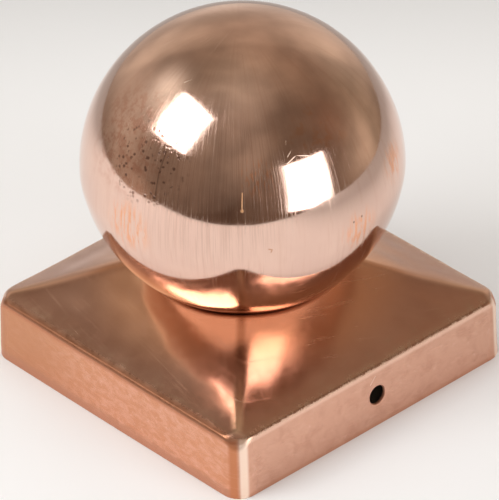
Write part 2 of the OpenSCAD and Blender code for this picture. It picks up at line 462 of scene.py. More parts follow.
def ball_screw():
    n = 96
    head_h, head_r, dome_r = 2.75, 4.75, 6.5
    zb, zt = SPRING_Z - head_h, SPRING_Z
    tip = SPRING_Z + 12.0
    prof = []
    # tip: chamfer to a flat end
    prof += [(0.9, tip), (1.75, tip), (2.05, tip - 0.12)]
    zs = np.arange(tip - 0.3, SPRING_Z + 2.4, -0.05)
    prof += [(2.1, z) for z in zs]
    n_thread = (3, 3 + len(zs))
    prof += [(2.3, SPRING_Z + 2.2), (2.45, SPRING_Z + 1.9), (2.47, SPRING_Z + 0.5), (2.6, SPRING_Z + 0.05), (2.7, SPRING_Z)]
    prof += [(4.3, zt), (4.62, zt), (4.72, zt - 0.04), (4.75, zt - 0.14)]
    # domed side of the button
    cz = zb + dome_r
    z_side = cz - math.sqrt(dome_r**2 - head_r**2)
    prof += [(4.75, z) for z in np.linspace(zt - 0.3, z_side + 0.15, 4)]
    ang = np.linspace(math.asin((head_r - 0.08) / dome_r), math.asin(2.15 / dome_r), 14)
    prof += [(dome_r * math.sin(t), cz - dome_r * math.cos(t)) for t in ang]
    n_hex = len(prof)
    prof += [(2.0, zb + 0.3), (1.0, zb + 0.55), (1.0, zb + 0.7), (1.0, zb + 1.5), (1.0, zb + 1.58), (0.8, zb + 1.62)]
    prof = np.array(prof)
    th = np.arange(n) / n * TAU
    R = prof[:, 0][:, None] * np.ones(n)
    Zg = prof[:, 1][:, None] * np.ones(n)
    a, b = n_thread
    R[a:b] = thread(R[a:b], Zg[a:b], th[None, :], 2.06, 2.49, SPRING_Z + 2.4, tip - 0.2)
    hexr = 1.5 / np.cos((th + math.pi / 6) % (math.pi / 3) - math.pi / 6)
    R[n_hex] = hexr + 0.16
    Zg[n_hex] = zb + 0.26
    R[n_hex + 1:n_hex + 5] = hexr
    Zg[n_hex + 1] = zb + 0.42
    R[n_hex + 5] = hexr * 0.96
    V = np.stack([R * np.cos(th), R * np.sin(th), Zg], -1).reshape(-1, 3)
    # one point closes the tip and one the bottom of the key's socket
    k, last = len(V), (len(prof) - 1) * n
    V = np.concatenate([V, [[0, 0, tip], [0, 0, zb + 1.85]]])
    faces = [tuple(q) for q in grid_faces(len(prof), n, flip=True)]
    faces += [(i, (i + 1) % n, k) for i in range(n)]
    faces += [(last + (i + 1) % n, last + i, k + 1) for i in range(n)]
    return make_object("button_screw", V, faces, sharp_deg=34)


def boss():
    n = 96
    z0, z1, top = BOSS_Z, BOSS_Z + 1.5, BOSS_Z + 10
    outer = [(3.1, z0), (8.85, z0), (9.0, z0 + 0.15), (9.0, z1 - 0.3), (8.7, z1), (7.3, z1)]
    outer += arc(7.3, z1 + 1.8, 1.8, -90, -180, 7)[1:]
    outer += [(5.5, z) for z in np.linspace(z1 + 2.2, top - 0.6, 9)]
    outer += [(5.35, top - 0.3), (5.0, top), (3.2, top), (2.75, top - 0.35)]
    zs = np.arange(top - 0.45, z0 + 0.45, -0.05)
    first = len(outer)
    prof = np.array(outer + [(2.52, z) for z in zs] + [(2.75, z0 + 0.35)])
    th = np.arange(n) / n * TAU
    R = prof[:, 0][:, None] * np.ones(n)
    Zg = prof[:, 1][:, None] * np.ones(n)
    last = first + len(zs)
    # the nut thread follows the screw's helix with a small gap
    R[first:last] = np.maximum(thread(R[first:last], Zg[first:last], th[None, :], 2.06, 2.49, -50, 90) + 0.03, 2.12)
    # flats for a spanner on the barrel
    barrel = (prof[:, 0] > 4.9) & (prof[:, 0] < 5.6) & (prof[:, 1] > z1 + 4.2)
    flat_r = 4.95 / np.maximum(np.abs(np.cos(th)), 1e-6)
    R[barrel] = np.minimum(R[barrel], flat_r[None, :])
    V = np.stack([R * np.cos(th), R * np.sin(th), Zg], -1).reshape(-1, 3)
    f = grid_faces(len(prof), n, closed_rows=True, flip=False)
    return make_object("tapped_boss", V, [tuple(q) for q in f], sharp_deg=34)


def washer(name, ro, ri, z0, z1, ease, n=128, ripple=0.0):
    prof = ([(ri + ease, z0), ] + [(x, z0) for x in np.linspace(ri + ease, ro - ease, 9)[1:]]
            + arc(ro - ease, z0 + ease, ease, -90, 0, 4)[1:] + arc(ro - ease, z1 - ease, ease, 0, 90, 4)
            + [(x, z1) for x in np.linspace(ro - ease, ri + ease, 9)[1:]]
            + arc(ri + ease, z1 - ease, ease, 90, 180, 4)[1:] + arc(ri + ease, z0 + ease, ease, 180, 270, 4)[:-1])
    def wob(r, z, th):
        return r + ripple * np.sin(th * 7 + 0.4) * (r > (ro + ri) / 2), z
    return lathe(prof, n, wob, name=name)


def spring_washer():
    ro, ri, t = 4.6, 2.6, 1.2
    half_gap = math.asin(0.5 / 3.6)
    e = 0.14
    sec = ([(ri + e, 0), (ro - e, 0)] + arc(ro - e, e, e, -90, 0, 4)[1:] + arc(ro - e, t - 0.1 - e, e, 0, 90, 4)
           + [(ri + e, t - 0.1)] + arc(ri + e, t - 0.1 - e, e, 90, 180, 4)[1:] + arc(ri + e, e, e, 180, 270, 4)[:-1])
    sec = np.array(sec)
    m = len(sec)
    steps = 110
    verts = []
    for i in range(steps + 1):
        u = i / steps
        a = math.pi / 2 + half_gap + (TAU - 2 * half_gap) * u
        dz = 0.1 * u
        for r, z in sec:
            verts.append((r * math.cos(a), r * math.sin(a), SPRING_Z + z + dz))
    faces = []
    for i in range(steps):
        for j in range(m):
            k = (j + 1) % m
            faces.append((i * m + j, (i + 1) * m + j, (i + 1) * m + k, i * m + k))
    faces.append(tuple(range(m)))
    faces.append(tuple(steps * m + j for j in range(m - 1, -1, -1)))
    ob = make_object("split_washer", verts, faces, sharp_deg=40)
    return ob


# -------------------------------------------------------------- node materials
class Nodes:
    """short hand for building a node tree"""

    def __init__(self, tree):
        self.t = tree
        tree.nodes.clear()

    def new(self, kind, **props):
        nd = self.t.nodes.new(kind)
        for k, v in props.items():
            setattr(nd, k, v)
        return nd

    def put(self, socket, value):
        if hasattr(value, "is_output"):
            self.t.links.new(value, socket)
        else:
            socket.default_value = value

    def math(self, op, a, b=None, c=None, clamp=False):
        nd = self.new("ShaderNodeMath", operation=op, use_clamp=clamp)
        self.put(nd.inputs[0], a)
        if b is not None:
            self.put(nd.inputs[1], b)
        if c is not None:
            self.put(nd.inputs[2], c)
        return nd.outputs[0]

    def vec(self, op, a, b=None, scale=None):
        nd = self.new("ShaderNodeVectorMath", operation=op)
        self.put(nd.inputs[0], a)
        if b is not None:
            self.put(nd.inputs[1], b)
        if scale is not None:
            self.put(nd.inputs["Scale"], scale)
        return nd.outputs["Value"] if op in ("DOT_PRODUCT", "LENGTH", "DISTANCE") else nd.outputs[0]

    def split(self, v):
        nd = self.new("ShaderNodeSeparateXYZ")
        self.put(nd.inputs[0], v)
        return nd.outputs

    def join(self, x, y, z):
        nd = self.new("ShaderNodeCombineXYZ")
        for s, v in zip(nd.inputs, (x, y, z)):
            self.put(s, v)
        return nd.outputs[0]

    def noise(self, vector, scale, detail=3.0, rough=0.55, distortion=0.0):
        nd = self.new("ShaderNodeTexNoise", noise_dimensions="3D")
        self.put(nd.inputs["Vector"], vector)
        nd.inputs["Scale"].default_value = scale
        nd.inputs["Detail"].default_value = detail
        nd.inputs["Roughness"].default_value = rough
        nd.inputs["Distortion"].default_value = distortion
        return nd.outputs["Fac"]

    def cells(self, vector, scale, feature="F1", randomness=1.0):
        nd = self.new("ShaderNodeTexVoronoi", feature=feature)
        self.put(nd.inputs["Vector"], vector)
        nd.inputs["Scale"].default_value = scale
        nd.inputs["Randomness"].default_value = randomness
        return nd.outputs["Distance"]

    def step(self, x, a, b, lo=0.0, hi=1.0):
        """smooth step of x from lo at a to hi at b"""
        nd = self.new("ShaderNodeMapRange", interpolation_type="SMOOTHSTEP")
        self.put(nd.inputs["Value"], x)
        for k, v in (("From Min", a), ("From Max", b), ("To Min", lo), ("To Max", hi)):
            nd.inputs[k].default_value = v
        return nd.outputs[0]

    def mix(self, fac, a, b):
        nd = self.new("ShaderNodeMix", data_type="RGBA", blend_type="MIX")
        self.put(nd.inputs["Factor"], fac)
        self.put(nd.inputs[6], a)
        self.put(nd.inputs[7], b)
        return nd.outputs[2]

    def blend(self, fac, a, b):
        """a number between a and b"""
        nd = self.new("ShaderNodeMix", data_type="FLOAT")
        self.put(nd.inputs["Factor"], fac)
        self.put(nd.inputs[2], a)
        self.put(nd.inputs[3], b)
        return nd.outputs[0]

    def add(self, *xs):
        out = xs[0]
        for x in xs[1:]:
            out = self.math("ADD", out, x)
        return out

    def mul(self, *xs):
        out = xs[0]
        for x in xs[1:]:
            out = self.math("MULTIPLY", out, x)
        return out

    def peak(self, *xs):
        out = xs[0]
        for x in xs[1:]:
            out = self.math("MAXIMUM", out, x)
        return out

    def position(self):
        """place on the object in millimetres"""
        tc = self.new("ShaderNodeTexCoord")
        return self.vec("SCALE", tc.outputs["Object"], scale=1000.0)

    def scratch(self, P, a, b, width, soft=None):
        """1 on the straight mark from a to b, 0 away from it"""
        a, b = Vector(a), Vector(b)
        ab = b - a
        pa = self.vec("SUBTRACT", P, tuple(a))
        t = self.math("DIVIDE", self.vec("DOT_PRODUCT", pa, tuple(ab)), max(ab.length_squared, 1e-6), clamp=True)
        near = self.vec("SCALE", tuple(ab), scale=t)
        d = self.vec("LENGTH", self.vec("SUBTRACT", pa, near))
        return self.step(d, width + (soft or width), width * 0.3, 0.0, 1.0)

    def spot(self, P, at, inner, outer):
        d = self.vec("DISTANCE", P, tuple(at))
        return self.step(d, outer, inner, 0.0, 1.0)


def rgb(r, g, b):
    return (r, g, b, 1.0)


def new_material(name):
    m = bpy.data.materials.new(name)
    m.use_nodes = True
    k = Nodes(m.node_tree)
    out = k.new("ShaderNodeOutputMaterial")
    bsdf = k.new("ShaderNodeBsdfPrincipled")
    k.t.links.new(bsdf.outputs[0], out.inputs["Surface"])
    return m, k, bsdf


def bump(k, height, strength, distance, normal=None):
    nd = k.new("ShaderNodeBump")
    nd.inputs["Strength"].default_value = strength
    nd.inputs["Distance"].default_value = distance
    k.put(nd.inputs["Height"], height)
    if normal is not None:
        k.put(nd.inputs["Normal"], normal)
    return nd.outputs[0]


def ball_copper():
    m, k, s = new_material("polished_copper")
    P = k.position()
    Q = k.vec("SUBTRACT", P, (0, 0, 58.0))
    x, y, z = k.split(Q)
    ring = k.vec("NORMALIZE", k.join(x, y, 0.0))
    rx, ry, _ = k.split(ring)
    # hairlines run from pole to pole
    fine = k.noise(k.join(k.mul(rx, 190.0), k.mul(ry, 190.0), k.mul(z, 0.06)), 1.0, 4.0, 0.7)
    mid = k.noise(k.join(k.mul(rx, 42.0), k.mul(ry, 42.0), k.mul(z, 0.07)), 1.0, 3.0, 0.6)
    wide = k.noise(k.join(k.mul(rx, 9.0), k.mul(ry, 9.0), k.mul(z, 0.05)), 1.0, 2.0, 0.5)
    cloud = k.noise(P, 0.055, 3.0, 0.6)
    grain = k.noise(P, 1.7, 3.0, 0.6)
    # how much an area has been rubbed: most on the front, between the marks
    face = k.spot(P, (20.0, -28.0, 78.0), 14.0, 42.0)
    rub = k.peak(k.step(k.add(k.mul(wide, 0.55), k.mul(cloud, 0.55)), 0.50, 0.68), k.mul(face, 0.85))
    hair = k.mul(k.step(fine, 0.50, 0.70), k.blend(rub, 0.15, 1.0))
    streak = k.step(mid, 0.50, 0.66)
    pit_zone = k.spot(P, (5.0, -35.5, 77.0), 8.0, 13.0)
    pits = k.mul(k.step(k.cells(P, 0.66), 0.36, 0.20), k.step(k.noise(P, 0.7, 1.0, 0.5), 0.40, 0.47), pit_zone)
    red_zone = k.spot(P, (-3.0, -34.0, 79.0), 7.0, 18.0)
    red = k.mul(k.step(k.noise(P, 0.42, 4.0, 0.65), 0.44, 0.62), red_zone)
    lines = k.noise(k.join(k.mul(rx, 105.0), k.mul(ry, 105.0), k.mul(z, 0.05)), 1.0, 3.0, 0.65)
    front = k.spot(P, (21.0, -30.0, 74.0), 12.0, 27.0)
    mottle = k.mul(k.step(k.noise(P, 0.34, 5.0, 0.7), 0.50, 0.62), k.spot(P, (32.0, -4.0, 82.5), 4.0, 11.0))
    # single marks
    dark_line = k.peak(k.scratch(P, (9.0, -32.8, 80.2), (9.3, -35.6, 75.5), 0.14, 0.26), k.scratch(P, (9.3, -35.6, 75.5), (10.0, -37.9, 69.4), 0.14, 0.26))
    drip = k.peak(k.scratch(P, (28.0, -25.3, 73.4), (28.9, -26.4, 69.4), 0.13, 0.16), k.spot(P, (29.0, -26.4, 69.2), 0.3, 0.62))
    hairs = k.peak(k.scratch(P, (29.6, -11.9, 83.2), (30.6, -13.0, 80.7), 0.07, 0.13),
                   k.scratch(P, (31.3, -11.6, 81.4), (31.4, -13.2, 80.0), 0.06, 0.12),
                   k.scratch(P, (32.0, -14.0, 78.6), (32.4, -11.3, 80.0), 0.05, 0.11),
                   k.scratch(P, (32.4, -11.3, 80.0), (33.8, -8.2, 79.2), 0.05, 0.11),
                   k.scratch(P, (3.3, -20.9, 92.5), (5.6, -18.0, 93.6), 0.06, 0.13),
                   k.scratch(P, (30.3, -26.3, 69.0), (31.8, -25.2, 66.2), 0.05, 0.10))
    comma = k.peak(k.scratch(P, (34.1, -22.6, 58.6), (34.5, -21.9, 58.3), 0.14, 0.16), k.scratch(P, (34.5, -21.9, 58.3), (34.4, -22.2, 57.6), 0.13, 0.15))
    flecks = k.peak(k.spot(P, (40.9, -0.3, 59.2), 0.15, 0.4), k.spot(P, (40.8, 2.5, 59.6), 0.15, 0.4), k.spot(P, (6.4, -24.2, 89.9), 0.15, 0.42),
                    k.spot(P, (31.0, -18.5, 77.2), 0.12, 0.35))
    # orange rub marks
    z1 = k.spot(P, (2.5, -40.8, 59.0), 3.5, 8.5)
    z2 = k.spot(P, (40.6, 1.8, 56.0), 2.0, 7.5)
    z3 = k.spot(P, (35.5, 18.5, 66.0), 2.0, 7.0)
    z4 = k.spot(P, (29.3, -21.0, 76.5), 2.0, 6.5)
    smear_tex = k.step(k.noise(k.join(k.mul(rx, 36.0), k.mul(ry, 36.0), k.mul(z, 0.16)), 1.0, 4.0, 0.65), 0.44, 0.60)
    smear = k.mul(smear_tex, k.peak(z1, z2, z3))
    dabs = k.mul(k.step(k.noise(k.join(k.mul(rx, 60.0), k.mul(ry, 60.0), k.mul(z, 0.5)), 1.0, 3.0, 0.6), 0.50, 0.60), z4)

    base = k.mix(k.step(cloud, 0.35, 0.68), rgb(0.820, 0.565, 0.470), rgb(0.865, 0.605, 0.500))
    base = k.mix(k.mul(streak, 0.34), base, rgb(0.76, 0.48, 0.38))
    base = k.mix(k.mul(k.step(lines, 0.52, 0.40), front, 0.42), base, rgb(0.60, 0.38, 0.30))
    base = k.mix(k.mul(mottle, 0.45), base, rgb(0.84, 0.44, 0.25))
    base = k.mix(k.mul(hair, 0.26), base, rgb(0.96, 0.74, 0.62))
    base = k.mix(k.mul(red, 0.55), base, rgb(0.62, 0.30, 0.21))
    base = k.mix(k.mul(smear, 0.80), base, rgb(0.93, 0.43, 0.24))
    base = k.mix(k.mul(dabs, 0.55), base, rgb(0.95, 0.44, 0.24))
    base = k.mix(k.mul(hairs, 0.8), base, rgb(1.0, 0.78, 0.62))
    base = k.mix(k.mul(drip, 0.9), base, rgb(1.0, 0.56, 0.28))
    base = k.mix(k.mul(comma, 0.85), base, rgb(0.60, 0.30, 0.18))
    base = k.mix(k.mul(dark_line, 0.55), base, rgb(0.26, 0.16, 0.12))
    base = k.mix(k.mul(k.peak(pits, flecks), 0.8), base, rgb(0.22, 0.11, 0.08))
    k.put(s.inputs["Base Color"], base)
    s.inputs["Metallic"].default_value = 1.0
    rough = k.add(0.055, k.mul(hair, 0.20), k.mul(rub, 0.03), k.mul(streak, 0.04), k.mul(k.step(grain, 0.45, 0.7), 0.02),
                  k.mul(smear, 0.15), k.mul(pits, 0.10), k.mul(red, 0.04), k.mul(k.peak(hairs, drip), 0.35))
    k.put(s.inputs["Roughness"], rough)
    s.inputs["Anisotropic"].default_value = 0.75
    tang = k.new("ShaderNodeTangent", direction_type="RADIAL", axis="Z")
    k.put(s.inputs["Tangent"], tang.outputs[0])
    height = k.add(k.mul(fine, 0.45), k.mul(mid, 0.35), k.mul(grain, 0.10), k.mul(pits, -1.2), k.mul(dark_line, -0.8), k.mul(hairs, 1.0), k.mul(drip, 1.4))
    k.put(s.inputs["Normal"], bump(k, height, 0.14, 0.00006))
    return m


def turn_at(k, x, y):
    """angle round the axis"""
    return k.math("ARCTAN2", y, x)


def sheet_copper():
    """the pressed cap: browner than the ball, with stains, rubbing marks and worn edges, and with painted highlights,
    reflections and shade
    """
    m, k, s = new_material("pressed_copper")
    P = k.position()
    x, y, z = k.split(P)
    cloud = k.noise(P, 0.05, 4.0, 0.6)
    blot = k.noise(P, 0.19, 4.0, 0.62, 0.6)
    grain = k.noise(P, 2.2, 3.0, 0.6)
    # rubbing marks: along the faces of the skirt, and up the roof
    tilt = k.add(z, k.mul(k.add(x, y), 0.10))
    lines = k.noise(k.join(k.mul(x, 0.06), k.mul(y, 0.06), k.mul(tilt, 2.6)), 1.0, 4.0, 0.65)
    cross = k.noise(k.join(k.mul(k.add(x, k.mul(y, 0.35)), 1.9), k.mul(k.math("SUBTRACT", y, k.mul(x, 0.35)), 0.10), k.mul(z, 0.5)), 1.0, 4.0, 0.65)
    hair = k.step(lines, 0.57, 0.72)
    hair2 = k.step(cross, 0.60, 0.74)
    skirt = k.step(z, 17.5, 16.6)
    left = k.mul(skirt, k.step(y, -43.5, -45.4))                        # the face at -Y
    right = k.mul(skirt, k.step(x, 43.5, 45.4))                         # the face at +X
    ax, ay = k.math("ABSOLUTE", x), k.math("ABSOLUTE", y)
    reach = k.math("MAXIMUM", ax, ay)
    rho = k.vec("LENGTH", k.join(x, y, 0.0))
    bend = k.mul(k.step(reach, 43.2, 45.6), k.step(z, 16.2, 17.0))       # roof side of the bend
    under = k.mul(skirt, k.step(z, 15.3, 16.3))                          # skirt side of the bend
    scuff = k.mul(k.step(reach, 37.5, 45.4), k.step(z, 16.5, 17.3), k.step(k.noise(P, 0.26, 4.0, 0.7), 0.44, 0.74))
    worn = k.mul(k.step(reach, 43.4, 45.3), k.step(z, 16.4, 17.1), k.step(k.noise(P, 0.55, 4.0, 0.7), 0.36, 0.66))
    flecks = k.mul(k.step(reach, 43.9, 45.5), k.step(z, 16.5, 17.1), k.step(k.noise(P, 1.3, 3.0, 0.7), 0.58, 0.72))
    ball_reflection_zone = k.step(rho, 44.0, 30.0)
    gap = k.math("SUBTRACT", k.vec("DISTANCE", P, (0, 0, 61.6)), 41.2)
    ball_crevice_shade = k.mul(k.step(gap, 1.50, 0.55), k.step(z, 22.0, 24.0))         # painted shade in the crevice where the ball sits
    hip_wear_and_highlight = k.mul(k.step(k.math("ABSOLUTE", k.math("SUBTRACT", ax, ay)), 3.2, 0.6), k.step(z, 17.6, 19.0), k.step(rho, 38.0, 58.0))
    hip_shade_near_ball = k.mul(k.step(k.math("ABSOLUTE", k.math("SUBTRACT", ax, ay)), 2.6, 0.4), k.step(z, 17.6, 19.0), k.step(rho, 44.0, 34.0))
    brush = k.noise(k.join(k.mul(x, 0.30), k.mul(y, 0.30), k.mul(tilt, 0.62)), 1.0, 5.0, 0.68, 0.5)
    dabs = k.noise(k.join(k.mul(x, 0.62), k.mul(y, 0.62), k.mul(tilt, 1.05)), 1.0, 4.0, 0.7, 0.8)
    arcs = k.noise(k.join(k.mul(rho, 2.4), k.mul(turn_at(k, x, y), 3.0), 0.0), 1.0, 3.0, 0.65)
    stain = k.step(k.noise(P, 0.33, 4.0, 0.65, 1.2), 0.55, 0.64)

    roof = k.mix(k.step(cloud, 0.36, 0.64), rgb(0.640, 0.355, 0.260), rgb(0.690, 0.400, 0.300))
    # painted reflection: the roof near the ball is tinted orange, as if reflecting the ball's copper
    roof = k.mix(k.mul(ball_reflection_zone, 0.68), roof, rgb(0.98, 0.50, 0.29))
    roof = k.mix(k.mul(k.step(blot, 0.5, 0.72), 0.30), roof, rgb(0.72, 0.39, 0.27))
    roof = k.mix(k.mul(k.step(arcs, 0.56, 0.72), ball_reflection_zone, 0.20), roof, rgb(0.97, 0.66, 0.50))
    # painted highlight, partly wear: the hips are lightened towards gold, most strongly on the front hip
    roof = k.mix(k.mul(hip_wear_and_highlight, k.blend(k.step(k.math("SUBTRACT", x, y), 30.0, 60.0), 0.20, 0.70)), roof, rgb(1.0, 0.74, 0.52))
    # painted shade: the hips darkened near the ball, standing in for a dark reflection
    roof = k.mix(k.mul(hip_shade_near_ball, 0.65), roof, rgb(0.42, 0.18, 0.09))
    # painted light: only the -Y and +X skirt faces get their own colour sets, each set to how that face looks in its
    # light, the -Y face more orange and the +X face paler; the other faces keep the roof colour
    side_l = k.mix(k.step(brush, 0.40, 0.62), rgb(0.74, 0.345, 0.20), rgb(0.82, 0.42, 0.285))
    side_l = k.mix(k.mul(k.step(dabs, 0.54, 0.68), 0.45), side_l, rgb(0.91, 0.54, 0.42))
    side_l = k.mix(k.mul(k.step(dabs, 0.44, 0.32), 0.35), side_l, rgb(0.74, 0.32, 0.17))
    side_l = k.mix(k.mul(stain, 0.20), side_l, rgb(0.66, 0.29, 0.17))
    # painted shade: the -Y face darker and more orange towards its far end
    side_l = k.mix(k.mul(k.step(x, 0.0, -34.0), 0.80), side_l, rgb(0.60, 0.275, 0.145))
    # painted shade: the -Y face darker towards the bottom, near the table
    side_l = k.mix(k.mul(k.step(k.add(z, k.mul(k.math("SUBTRACT", brush, 0.5), 5.0)), 3.8, 1.6), 0.60), side_l, rgb(0.58, 0.30, 0.20))
    side_l = k.mix(k.mul(k.step(y, -45.0, -46.0), k.step(z, 3.2, 0.6), 0.5), side_l, rgb(0.60, 0.27, 0.17))
    side_r = k.mix(k.step(blot, 0.42, 0.70), rgb(0.73, 0.415, 0.30), rgb(0.66, 0.36, 0.255))
    side_r = k.mix(k.mul(k.step(brush, 0.52, 0.66), 0.25), side_r, rgb(0.84, 0.52, 0.40))
    # painted shade: the +X face darker towards the bottom, near the table
    side_r = k.mix(k.mul(k.step(z, 1.6, 0.4), 0.45), side_r, rgb(0.60, 0.28, 0.16))
    base = k.mix(left, roof, side_l)
    base = k.mix(right, base, side_r)
    # the vertical corners: a painted reflection, dark orange-brown, on one side of the bend and a painted cream
    # highlight on the other
    turn = k.math("SUBTRACT", ax, ay)                                    # 0 on the corner's own diagonal
    corner = k.mul(skirt, k.step(rho, 61.0, 62.4))
    base = k.mix(k.mul(corner, k.step(turn, 0.6, -0.6), k.step(turn, -3.9, -2.2), 1.0), base, rgb(0.64, 0.26, 0.13))
    base = k.mix(k.mul(corner, k.step(turn, 0.3, 1.2), k.step(turn, 4.2, 3.0), 1.0), base, rgb(1.0, 0.78, 0.64))
    base = k.mix(k.mul(hair, 0.16), base, rgb(0.95, 0.62, 0.48))
    base = k.mix(k.mul(hair2, right, 0.22), base, rgb(0.95, 0.66, 0.54))
    # painted shade and painted highlight: just below the bend the -Y face is darkened and the +X face lightened,
    # standing in for the line of light reflected along the bend
    base = k.mix(k.mul(under, left, 0.75), base, rgb(0.56, 0.22, 0.12))
    base = k.mix(k.mul(under, right, 0.55), base, rgb(0.96, 0.66, 0.52))
    left_bend = k.mul(bend, k.step(y, -43.0, -44.6))
    base = k.mix(k.mul(bend, 0.25), base, rgb(0.80, 0.52, 0.38))
    base = k.mix(k.mul(scuff, 0.30), base, rgb(0.66, 0.50, 0.36))
    base = k.mix(k.mul(worn, 0.34), base, rgb(0.78, 0.60, 0.44))
    # painted shade: the roof side of the bend on the -Y face is darkened to hide its highlight line
    base = k.mix(k.mul(left_bend, 0.95), base, rgb(0.36, 0.155, 0.085))
    base = k.mix(k.mul(flecks, 0.40), base, rgb(0.36, 0.24, 0.17))
    # painted shade in the crevice under the ball
    base = k.mix(k.mul(ball_crevice_shade, 0.85), base, rgb(0.36, 0.13, 0.06))
    # a nick and hairline scratches
    marks = k.peak(k.scratch(P, (46.1, -0.9, 12.9), (46.1, 0.9, 14.8), 0.12, 0.16),
                   k.scratch(P, (46.1, -33.0, 2.0), (46.0, -18.0, 14.0), 0.04, 0.08),
                   k.scratch(P, (46.1, -27.0, 2.4), (46.0, -22.0, 8.0), 0.04, 0.08),
                   k.scratch(P, (46.1, 12.0, 3.0), (46.0, 20.0, 7.0), 0.04, 0.08),
                   k.scratch(P, (41.0, -30.5, 19.4), (37.5, -24.6, 21.2), 0.04, 0.08),
                   k.scratch(P, (-26.0, -38.4, 20.8), (-20.0, -37.0, 21.4), 0.04, 0.08))
    base = k.mix(k.mul(marks, 0.60), base, rgb(1.0, 0.80, 0.68))
    # inside the cap the sheet is duller and browner: it faces down or inwards
    geo = k.new("ShaderNodeNewGeometry")
    nx, ny, nz = k.split(geo.outputs["Normal"])
    facing_in = k.step(k.add(k.mul(nx, x), k.mul(ny, y)), 0.0, -6.0)
    down = k.step(nz, -0.15, -0.4)
    inside = k.math("MAXIMUM", k.mul(facing_in, k.step(z, 18.0, 16.8)), k.mul(down, k.step(z, 0.2, 0.6)))
    base = k.mix(k.mul(inside, 0.6), base, k.mix(k.step(blot, 0.4, 0.65), rgb(0.42, 0.24, 0.17), rgb(0.60, 0.36, 0.26)))
    k.put(s.inputs["Base Color"], base)
    s.inputs["Metallic"].default_value = 1.0
    right_roof = k.mul(k.step(k.math("SUBTRACT", x, ay), 0.0, 4.0), k.step(z, 17.5, 18.5), k.step(rho, 46.0, 34.0))
    hole_wall = k.mul(k.step(k.vec("LENGTH", k.join(0.0, k.math("SUBTRACT", y, 1.4), k.math("SUBTRACT", z, 8.9))), 2.90, 2.74), k.step(ax, 44.0, 45.0))
    rough = k.add(0.14, k.mul(hair, 0.08), k.mul(k.step(blot, 0.4, 0.7), 0.05), k.mul(scuff, 0.10), k.mul(worn, 0.14), k.mul(flecks, 0.1),
                  k.mul(left_bend, 0.16), k.mul(corner, 0.16), k.mul(right_roof, 0.07), k.mul(hip_wear_and_highlight, k.step(k.math("SUBTRACT", x, y), 40.0, 70.0), 0.10), k.mul(ball_crevice_shade, 0.3), k.mul(hole_wall, 0.45),
                  k.mul(skirt, 0.08), k.mul(inside, 0.25), k.mul(marks, 0.15))
    k.put(s.inputs["Roughness"], rough)
    height = k.add(k.mul(lines, 0.4), k.mul(cross, 0.25), k.mul(grain, 0.22), k.mul(flecks, -0.3), k.mul(marks, 0.5))
    k.put(s.inputs["Normal"], bump(k, height, 0.16, 0.00006))
    return m


def turned_brass():
    m, k, s = new_material("turned_brass")
    P = k.position()
    x, y, z = k.split(P)
    r = k.vec("LENGTH", k.join(x, y, 0.0))
    rings = k.noise(k.join(k.mul(r, 7.0), 0.0, k.mul(z, 7.0)), 1.0, 3.0, 0.7)
    stain = k.noise(P, 0.35, 4.0, 0.6)
    base = k.mix(k.step(stain, 0.38, 0.68), rgb(0.80, 0.60, 0.27), rgb(0.62, 0.42, 0.20))
    base = k.mix(k.mul(k.step(rings, 0.5, 0.7), 0.3), base, rgb(0.93, 0.78, 0.45))
    k.put(s.inputs["Base Color"], base)
    s.inputs["Metallic"].default_value = 1.0
    k.put(s.inputs["Roughness"], k.add(0.24, k.mul(rings, 0.12), k.mul(k.step(stain, 0.5, 0.75), 0.12)))
    k.put(s.inputs["Normal"], bump(k, k.add(rings, k.mul(stain, 0.3)), 0.35, 0.00004))
    return m


def stainless():
    m, k, s = new_material("plain_stainless")
    P = k.position()
    x, y, z = k.split(P)
    r = k.vec("LENGTH", k.join(x, y, 0.0))
    rings = k.noise(k.join(k.mul(r, 9.0), 0.0, k.mul(z, 9.0)), 1.0, 3.0, 0.7)
    smudge = k.noise(P, 0.8, 4.0, 0.6)
    base = k.mix(k.step(smudge, 0.35, 0.7), rgb(0.63, 0.63, 0.64), rgb(0.50, 0.49, 0.48))
    base = k.mix(k.mul(k.step(rings, 0.52, 0.7), 0.3), base, rgb(0.78, 0.78, 0.79))
    k.put(s.inputs["Base Color"], base)
    s.inputs["Metallic"].default_value = 1.0
    k.put(s.inputs["Roughness"], k.add(0.22, k.mul(rings, 0.14), k.mul(smudge, 0.1)))
    k.put(s.inputs["Normal"], bump(k, k.add(rings, k.mul(smudge, 0.4)), 0.3, 0.00004))
    return m


def seal_rubber():
    m, k, s = new_material("seal_rubber")
    P = k.position()
    fine = k.noise(P, 5.0, 4.0, 0.7)
    bloom = k.noise(P, 0.5, 4.0, 0.6)
    base = k.mix(k.step(bloom, 0.4, 0.7), rgb(0.018, 0.018, 0.019), rgb(0.055, 0.054, 0.053))
    k.put(s.inputs["Base Color"], base)
    s.inputs["Metallic"].default_value = 0.0
    k.put(s.inputs["Roughness"], k.add(0.62, k.mul(fine, 0.25)))
    k.put(s.inputs["Normal"], bump(k, fine, 0.5, 0.00005))
    return m


# ------------------------------------------------------------- build the pieces
copper_ball = ball_copper()
copper_sheet = sheet_copper()
brass = turned_brass()
steel = stainless()
rubber = seal_rubber()

piece(build_base(), "base_shell", copper_sheet)
piece(dome("lower_half_ball", False), "ball_lower_dome", copper_ball)
piece(dome("upper_half_ball", True), "ball_upper_dome", copper_ball)
piece(band(), "ball_seam_band", copper_sheet)
piece(boss(), "ball_boss", brass)
piece(washer("rubber_seal", 11.0, 2.6, SEAT_FLAT_Z, BALL_FLAT_Z, 0.2, ripple=0.04), "seal_washer", rubber)
piece(washer("brass_washer", 10.0, 2.75, WALL_Z - 1.0, WALL_Z, 0.15), "backing_washer", brass)
piece(spring_washer(), "spring_washer", steel)
piece(ball_screw(), "ball_screw", steel)


